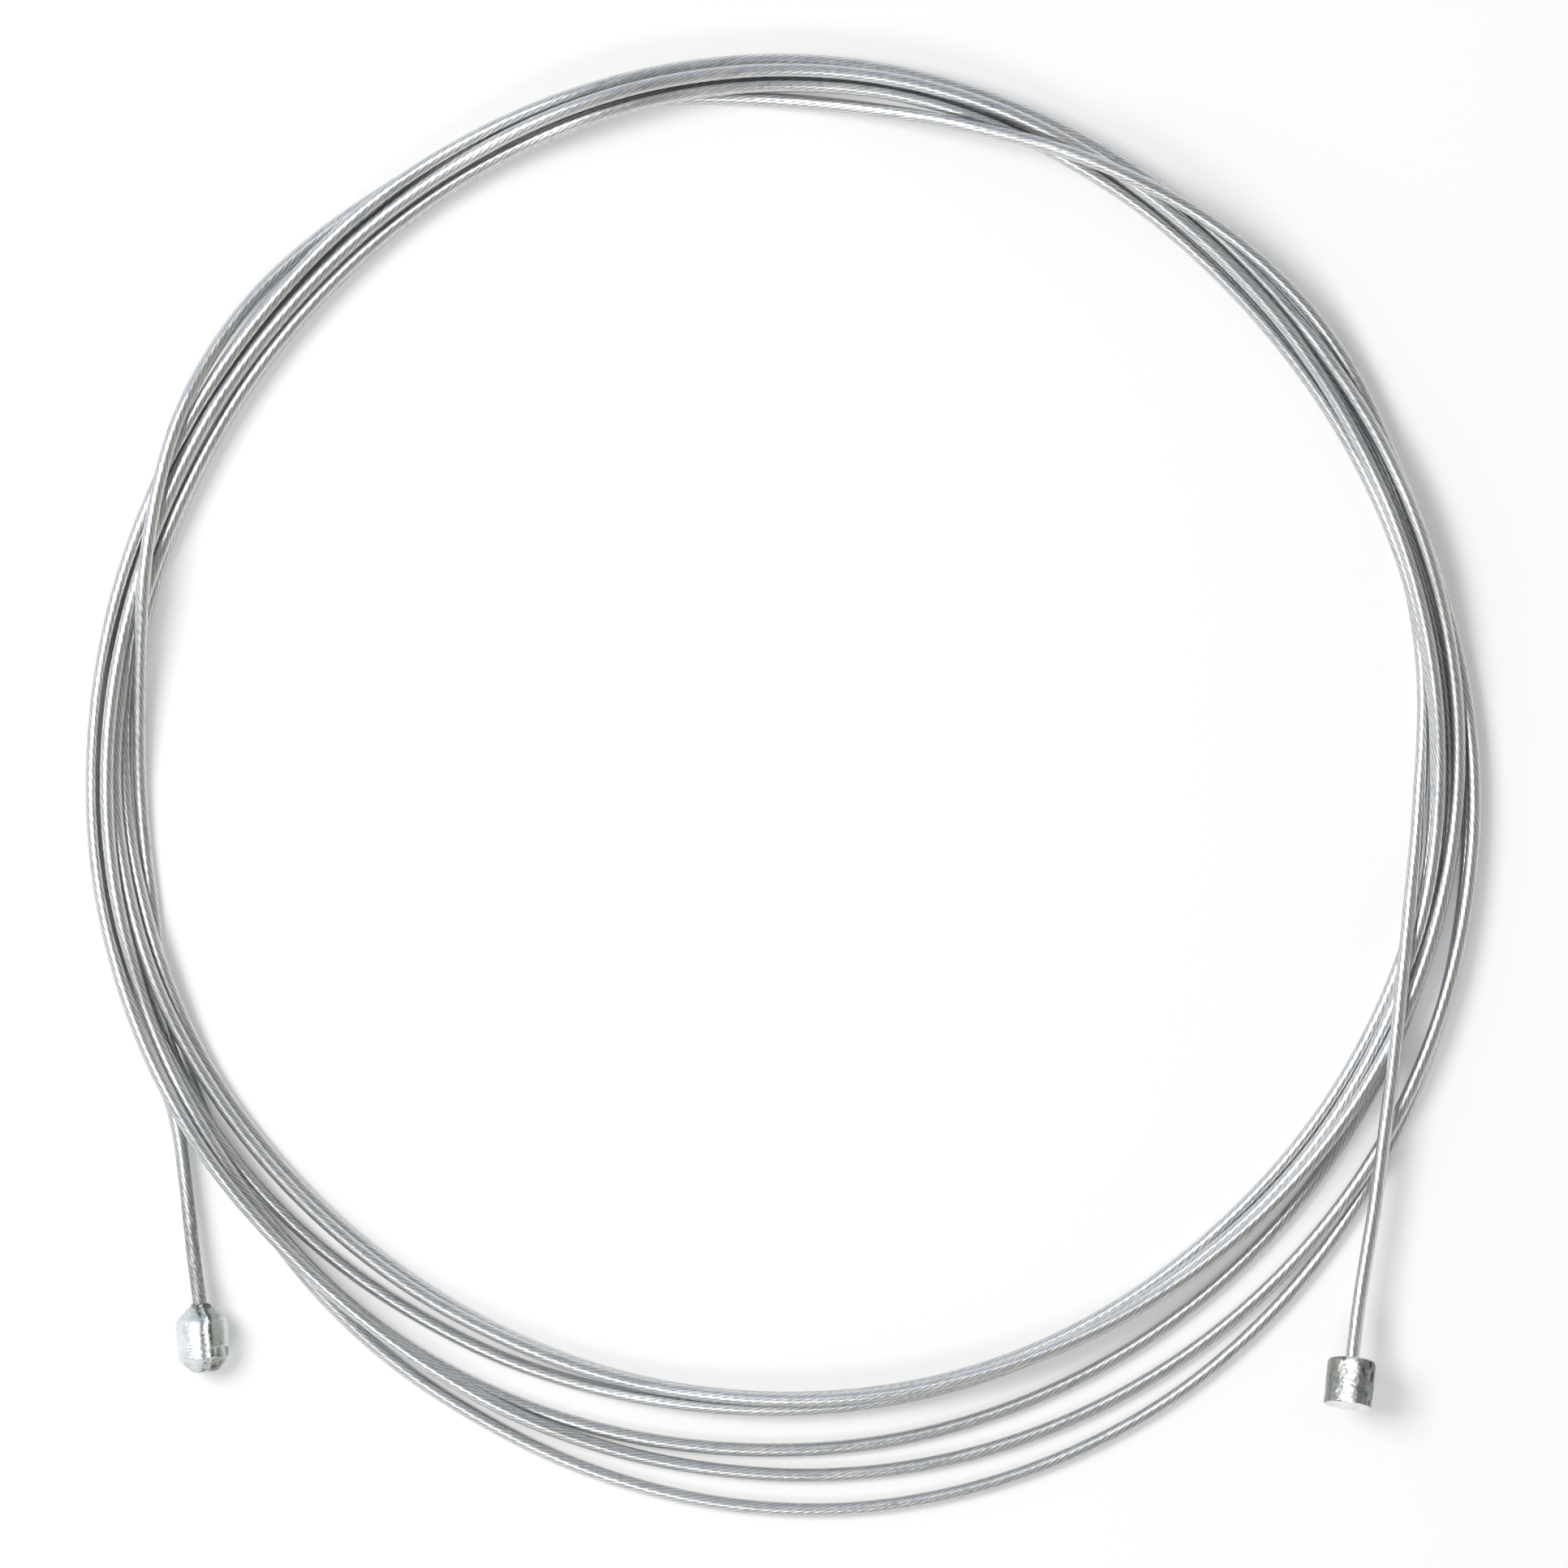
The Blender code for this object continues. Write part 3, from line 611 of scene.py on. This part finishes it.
# %% Zinc of the heads
def cast_zinc(name, stops, offset, grit):
    """Zinc whose colour follows a tone stored at each point, with painted highlights and shade in it,
    from stops of a ramp.
    """
    finish = Finish(name)
    moved = finish.add("ShaderNodeVectorMath", {"operation": "ADD"}, finish.place(), offset)
    broad = finish.add("ShaderNodeTexNoise", {}, moved, Scale=700.0, Detail=4.0, Roughness=0.65)
    grain = finish.add("ShaderNodeTexNoise", {}, moved, Scale=3600.0, Detail=3.0, Roughness=0.7)
    tone_and_painted_light = finish.attribute("tone_and_painted_light")
    tone = (tone_and_painted_light + 0.7 * (broad - 0.5) + 0.3 * grit * (grain - 0.5)).clamped()
    finish.feed("Base Color", finish.ramp(tone, stops))
    finish.feed("Roughness", (0.30 + 0.04 * grit - 0.06 * tone + 0.12 * grain).clamped())
    finish.surface.inputs["Metallic"].default_value = 1.0
    height = 0.5 * grit * grain + 0.5 * broad
    rough = finish.add("ShaderNodeBump", {}, Strength=0.6, Distance=0.04 * MM, Height=height)
    finish.feed("Normal", rough)
    return finish.material


# %% Outline of a cast head, with its corners melted round
# Each outline starts inside the strand, where its edge is hidden
HIDDEN_R = 0.44 * STRAND_D
HIDDEN_DEPTH = 0.8 * MM
HEAD_RING_GAP = 0.05 * MM
ARC_STEPS = 6


def melted(corners):
    """The (radius, height, softness) corners as a fine outline, each corner rounded by its softness."""
    spots = [Vector((radius, height)) for radius, height, _ in corners]
    outline = [spots[0]]
    for before, spot, after, (_, _, soft) in zip(spots, spots[1:], spots[2:], corners[1:]):
        start = spot + (before - spot).normalized() * min(soft, (before - spot).length / 2)
        end = spot + (after - spot).normalized() * min(soft, (after - spot).length / 2)
        for k in range(ARC_STEPS + 1):
            t = k / ARC_STEPS
            outline.append(start * (1 - t) ** 2 + spot * (2 * t * (1 - t)) + end * t**2)
    outline.append(spots[-1])
    fine = []
    for a, b in zip(outline, outline[1:]):
        steps = max(1, round((b - a).length / HEAD_RING_GAP))
        fine += [a.lerp(b, k / steps) for k in range(steps)]
    return [*fine, outline[-1]]


# %% Shape of a cast head
HEAD_SIDES = 224


def cast_head(name, corners, mouth, out, casting, material):
    """Turns the outline, and moves each point along its normal as casting(point, turn) says."""
    shape = bmesh.new()
    tone_and_painted_light_layer = shape.verts.layers.float.new("tone_and_painted_light")
    rings = []
    for radius, height in melted(corners):
        sides = HEAD_SIDES if radius > 0.0 else 1
        rings.append([
            shape.verts.new((
                radius * math.cos(2 * math.pi * k / HEAD_SIDES),
                radius * math.sin(2 * math.pi * k / HEAD_SIDES),
                height,
            ))
            for k in range(sides)
        ])
    for lower, upper in zip(rings, rings[1:]):
        for k in range(HEAD_SIDES):
            n = (k + 1) % HEAD_SIDES
            corners_of_face = [
                lower[k % len(lower)], lower[n % len(lower)],
                upper[n % len(upper)], upper[k % len(upper)],
            ]
            shape.faces.new(list(dict.fromkeys(corners_of_face)))
    bmesh.ops.recalc_face_normals(shape, faces=shape.faces)
    shape.normal_update()
    shifts = []
    for vert in shape.verts:
        move, tone_and_painted_light = casting(vert.co, math.degrees(math.atan2(vert.co.y, vert.co.x)))
        shifts.append(vert.normal * move)
        vert[tone_and_painted_light_layer] = tone_and_painted_light
    for vert, shift in zip(shape.verts, shifts):
        vert.co += shift
    mesh = bpy.data.meshes.new(name)
    shape.to_mesh(mesh)
    shape.free()
    mesh.transform(Matrix.Translation(mouth) @ out.to_track_quat("Z", "Y").to_matrix().to_4x4())
    mesh.materials.append(material)
    mesh.shade_smooth()
    head = bpy.data.objects.new(name, mesh)
    bpy.context.collection.objects.link(head)
    return head


def lump(point, size, height):
    """Smooth unevenness of the casting, of about that size."""
    return height * noise.noise(point / size)


def step_up(value, start, end):
    """0 below start, 1 above end, and smooth between."""
    t = min(max((value - start) / (end - start), 0.0), 1.0)
    return t * t * (3 - 2 * t)


def between(value, start, full, fading, end):
    """0 outside start and end, 1 from full to fading, and smooth between."""
    return step_up(value, start, full) * (1 - step_up(value, fading, end))


def bell(value, middle, width):
    """1 at the middle, and less and less to both sides."""
    return math.exp(-(((value - middle) / width) ** 2))


# %% [markdown]
# Round a head, places are given in degrees: 90 is its top, and more is further to the right in the
# picture. The large head shows the seam of its die a little right of the top, as a ragged ridge of
# flash with a sharp fall beside it. Its lower right is cut back, faint ripples cross its left side,
# and brown flux was left round the wire.

# %% Large head
COLLAR_R = 0.86 * MM
COLLAR_LENGTH = 0.35 * MM
SEAM_TURN = 108.0
SEAM_WIDTH = 0.13 * MM
SEAM_HEIGHT = 0.15 * MM
SEAM_FALL = 0.12 * MM
HOLLOW_DEPTH = 0.05 * MM
CUT_BACK_DEPTH = 0.3 * MM
RIPPLE_HEIGHT = 0.012 * MM
RIPPLE_SIZE = 0.045 * MM

large_r = LARGE_HEAD_D / 2
large_flat = large_r - LARGE_HEAD_CHAMFER
large_corners = [
    (HIDDEN_R, -HIDDEN_DEPTH, 0.0),
    (HIDDEN_R, COLLAR_LENGTH, 0.02 * MM),
    (COLLAR_R, COLLAR_LENGTH * 0.6, 0.12 * MM),
    (COLLAR_R + 0.06 * MM, 0.0, 0.05 * MM),
    (large_flat, 0.0, 0.3 * MM),
    (large_r, -LARGE_HEAD_CHAMFER, 0.5 * MM),
    (large_r, LARGE_HEAD_CHAMFER - LARGE_HEAD_LENGTH, 0.22 * MM),
    (large_flat, -LARGE_HEAD_LENGTH, 0.1 * MM),
    (0.0, -LARGE_HEAD_LENGTH, 0.0),
]


def large_casting(point, turn):
    height = point.z
    radius = math.hypot(point.x, point.y)
    along = Vector((0.0, 0.0, height))
    # The seam wanders, and past_seam is how far beyond it a point lies
    wander = lump(along + Vector((3.0, 0.0, 0.0)), 1.1 * MM, 5.0) + lump(along, 0.33 * MM, 2.2)
    past_seam = math.radians(turn - SEAM_TURN - wander) * radius
    ragged = 0.7 + lump(along, 0.24 * MM, 1.1)
    ridge = SEAM_HEIGHT * ragged * bell(past_seam, 0.0, SEAM_WIDTH)
    fall = SEAM_FALL * between(past_seam, 0.0, 0.1 * MM, 0.3 * MM, 1.8 * MM)
    hollow = HOLLOW_DEPTH * bell(past_seam, -0.45 * MM, 0.2 * MM)
    on_top = between(turn, 20.0, 60.0, 150.0, 178.0)
    whole_length = 1 - step_up(-height, LARGE_HEAD_LENGTH - 0.9 * MM, LARGE_HEAD_LENGTH - 0.4 * MM)
    move = on_top * ((0.2 + 0.8 * whole_length) * ridge - fall - hollow)
    cut_back = between(turn, 112.0, 135.0, 165.0, 179.0) * step_up(-height, 3.3 * MM, 3.6 * MM)
    move -= CUT_BACK_DEPTH * cut_back
    rippled = between(-height, 2.6 * MM, 3.1 * MM, 3.9 * MM, 4.3 * MM)
    rippled *= between(turn, 48.0, 58.0, 76.0, 86.0)
    move += RIPPLE_HEIGHT * rippled * math.sin(height / RIPPLE_SIZE)
    move += lump(point, 0.9 * MM, 0.03 * MM) + lump(point, 0.3 * MM, 0.016 * MM)
    at_wire = 1 - step_up(radius, 0.95 * MM, 1.15 * MM)
    move += at_wire * lump(point, 0.22 * MM, 0.12 * MM)
    # Bright on the left, darker past the seam and at both ends. Painted reflection of the dark room
    # darkens the hollow beside the seam, painted shadow darkens the seam's fall, and painted shade
    # darkens the cut-back.
    tone_and_painted_light = 0.82 - 0.25 * step_up(past_seam, -0.1 * MM, 0.2 * MM)
    tone_and_painted_light += 0.15 * step_up(past_seam, 1.0 * MM, 1.6 * MM)
    tone_and_painted_light -= 0.2 * (1 - step_up(radius, large_r - 0.35 * MM, large_r - 0.15 * MM))
    tone_and_painted_light -= 0.45 * bell(past_seam, -0.48 * MM, 0.3 * MM) * (0.8 + lump(point, 0.2 * MM, 1.5))
    tone_and_painted_light -= on_top * bell(past_seam, 0.2 * MM, 0.17 * MM) * (0.55 + lump(point, 0.35 * MM, 1.2))
    tone_and_painted_light -= cut_back * (0.3 + lump(point, 0.5 * MM, 0.3))
    tone_and_painted_light -= at_wire * (height > -1.0 * MM) * (0.25 + lump(point, 0.25 * MM, 0.9))
    return move, min(max(tone_and_painted_light, 0.0), 1.0)


# %% Make the large head
BRIGHT_TONES = [
    (0.0, (0.17, 0.15, 0.15)),
    (0.25, (0.38, 0.39, 0.36)),
    (0.55, (0.58, 0.63, 0.62)),
    (0.95, (0.88, 0.89, 0.93)),
]
bright_zinc = cast_zinc("bright_zinc", BRIGHT_TONES, offset=(0.0, 0.0, 0.0), grit=3.0)
large_head = cast_head(
    "large_cast_head", large_corners, large_mouth, large_out, large_casting, bright_zinc
)
print("Large head:", len(large_head.data.polygons), "faces")

# %% [markdown]
# The small head is duller. A ragged strip of flash runs down its top, higher on its right edge,
# so that it leans towards the light, and a painted highlight brightens it. To the right of the strip
# the casting is pitted, with painted shade on that side and in the pits.

# %% Small head
STRIP_START = 74.0
STRIP_END = 102.0
STRIP_HEIGHT = 0.20 * MM
PIT_SIZE = 0.42 * MM
PIT_DEPTH = 0.12 * MM

small_r = SMALL_HEAD_D / 2
small_corners = [
    (HIDDEN_R, -HIDDEN_DEPTH, 0.0),
    (HIDDEN_R, 0.03 * MM, 0.02 * MM),
    (STRAND_D * 0.62, 0.0, 0.04 * MM),
    (small_r, 0.0, SMALL_HEAD_RIM * 1.6),
    (small_r, -SMALL_HEAD_LENGTH, SMALL_HEAD_RIM * 0.5),
    (0.0, -SMALL_HEAD_LENGTH, 0.0),
]


def small_casting(point, turn):
    height = point.z
    along = Vector((5.0, 0.0, height))
    wander = lump(along, 0.9 * MM, 7.0) + lump(along, 0.25 * MM, 5.0)
    other_wander = lump(along + Vector((4.0, 0.0, 0.0)), 0.8 * MM, 6.0) + lump(along, 0.2 * MM, 4.0)
    start = STRIP_START + wander
    end = STRIP_END + other_wander
    on_side = step_up(math.hypot(point.x, point.y), small_r - 0.35 * MM, small_r - 0.1 * MM)
    strip = between(turn, start, start + 3.0, end, end + 4.0) * on_side
    lean = min(max((turn - start) / (end - start), 0.0), 1.0)
    move = STRIP_HEIGHT * strip * lean
    pitted = between(turn, 105.0, 120.0, 172.0, 179.0) * on_side
    drawn_out = Vector((point.x, point.y, 0.45 * height))
    pits = step_up(noise.noise(drawn_out / PIT_SIZE), 0.26, 0.5)
    move -= PIT_DEPTH * pitted * pits
    move += lump(point, 0.8 * MM, 0.04 * MM) + lump(point, 0.28 * MM, 0.025 * MM)
    # Painted highlight on the strip, painted shade right of it and in its pits, darker just left of it,
    # and lighter on the end face
    tone_and_painted_light = 0.36 + 0.6 * strip - 0.18 * pitted - 0.2 * pitted * pits
    tone_and_painted_light -= 0.16 * between(start - turn, 0.0, 2.0, 6.0, 12.0) * on_side
    tone_and_painted_light += 0.45 * step_up(-height, SMALL_HEAD_LENGTH - 0.05 * MM, SMALL_HEAD_LENGTH)
    return move, min(max(tone_and_painted_light, 0.0), 1.0)


# %% Make the small head
GREY_TONES = [
    (0.0, (0.10, 0.09, 0.08)),
    (0.22, (0.24, 0.26, 0.26)),
    (0.42, (0.42, 0.42, 0.38)),
    (0.9, (0.90, 0.89, 0.88)),
]
grey_zinc = cast_zinc("grey_zinc", GREY_TONES, offset=(0.02, 0.0, 0.0), grit=1.0)
small_head = cast_head(
    "small_cast_head", small_corners, small_mouth, small_out, small_casting, grey_zinc
)
print("Small head:", len(small_head.data.polygons), "faces")

# %% [markdown]
# The table is a plain white sheet that runs on far beyond the coil. Its white is made for the camera
# and for reflections by a faint glow, because lamps strong enough to whiten it would burn out the
# bright metal. The lamps' own light still falls on it, so the coil keeps its shadow.

# %% White table
TABLE_R = 3.0
TABLE_COLOUR = (0.80, 0.80, 0.80, 1.0)
TABLE_GLOW = 0.19

table_mesh = bpy.data.meshes.new("white_table")
table_shape = bmesh.new()
bmesh.ops.create_circle(table_shape, cap_ends=True, segments=64, radius=TABLE_R)
table_shape.to_mesh(table_mesh)
table_shape.free()
white_table = bpy.data.objects.new("white_table", table_mesh)
bpy.context.collection.objects.link(white_table)

paper = Finish("white_paper")
paper.surface.inputs["Base Color"].default_value = TABLE_COLOUR
paper.surface.inputs["Roughness"].default_value = 0.9
paper.surface.inputs["Specular IOR Level"].default_value = 0.0
by_camera = paper.add("ShaderNodeLightPath", {}, out="Is Camera Ray")
in_metal = paper.add("ShaderNodeLightPath", {}, out="Is Glossy Ray")
in_glass = paper.add("ShaderNodeLightPath", {}, out="Is Transmission Ray")
paper.surface.inputs["Emission Color"].default_value = (1.0, 1.0, 1.0, 1.0)
paper.feed("Emission Strength", (by_camera + in_metal + in_glass).clamped() * TABLE_GLOW)
table_mesh.materials.append(paper.material)
print("Table:", TABLE_R, "m in radius")

# %% [markdown]
# The shadows and the bright streaks on the wire give the light away. The shadows fall to the right
# and a little towards the front, and the streaks lie on the left flank of each turn. So a broad key
# lamp hangs on the left and a little to the back. The front of the coil and one turn at the back
# right have streaks that it can't give, so a dimmer and smaller lamp hangs at the front.

# %% Lamps
def soft_lamp(name, place, size, watts, colour):
    data = bpy.data.lights.new(name, "AREA")
    data.size = size
    data.energy = watts
    data.color = colour
    lamp = bpy.data.objects.new(name, data)
    lamp.location = place
    lamp.rotation_euler = (-Vector(place)).to_track_quat("-Z", "Y").to_euler()
    bpy.context.collection.objects.link(lamp)


soft_lamp("key_lamp", (-0.41, 0.15, 0.66), size=0.36, watts=3.9, colour=(1.0, 0.985, 0.94))
soft_lamp("front_lamp", (-0.17, -0.44, 0.62), size=0.24, watts=1.0, colour=(0.97, 0.99, 1.0))
print("Lamps:", len(bpy.data.lights))

# %% [markdown]
# The rest is a pale room. It is darkest a little to the front of straight up, where the camera and
# its stand hang, and grows brighter towards the horizon, most of all at the front. It is cool at the
# back and warm on the right. Steel shows that at once: each turn has a dark line along its top
# between two paler flanks.

# %% Pale room
DARK_SPOT = (0.12, -0.26, 0.96)
ROOM_TOP = 0.25
ROOM_HORIZON = 0.46
ROOM_BRIGHT_SIDE = 0.45
BRIGHT_SIDE = (-0.35, -0.94, 0.0)
COOL_SIDE = (-0.3, 0.95, 0.0)
WARM_SIDE = (0.95, -0.3, 0.0)
PLAIN_LIGHT = (0.96, 0.99, 1.03)
COOL_LIGHT = (0.86, 0.95, 1.14)
WARM_LIGHT = (1.04, 1.01, 0.88)

room = bpy.data.worlds.new("pale_room")
room.use_nodes = True
room_shop = Shop(room.node_tree)
way = room_shop.add("ShaderNodeTexCoord", {}, out="Generated")
to_spot = room_shop.dot(way, DARK_SPOT).clamped()
to_bright_side = room_shop.dot(way, BRIGHT_SIDE).clamped()
room_light = ROOM_TOP + (1.0 - to_spot) * (ROOM_HORIZON + ROOM_BRIGHT_SIDE * to_bright_side)
background = room.node_tree.nodes["Background"]
cooled = room_shop.mixed(room_shop.dot(way, COOL_SIDE).clamped(), PLAIN_LIGHT, COOL_LIGHT)
room_colour = room_shop.mixed(room_shop.dot(way, WARM_SIDE).clamped(), cooled, WARM_LIGHT)
room.node_tree.links.new(room_colour.socket, background.inputs["Color"])
room.node_tree.links.new(room_light.socket, background.inputs["Strength"])
bpy.context.scene.world = room
bpy.context.scene.view_settings.view_transform = "Standard"
print("Nodes in the room:", len(room.node_tree.nodes))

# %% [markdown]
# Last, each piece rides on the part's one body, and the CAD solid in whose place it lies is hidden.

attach(strand, "root")
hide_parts("wire_strand")
for head, solid in ((large_head, "large_head"), (small_head, "small_head")):
    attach(head, "root")
    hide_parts(solid)
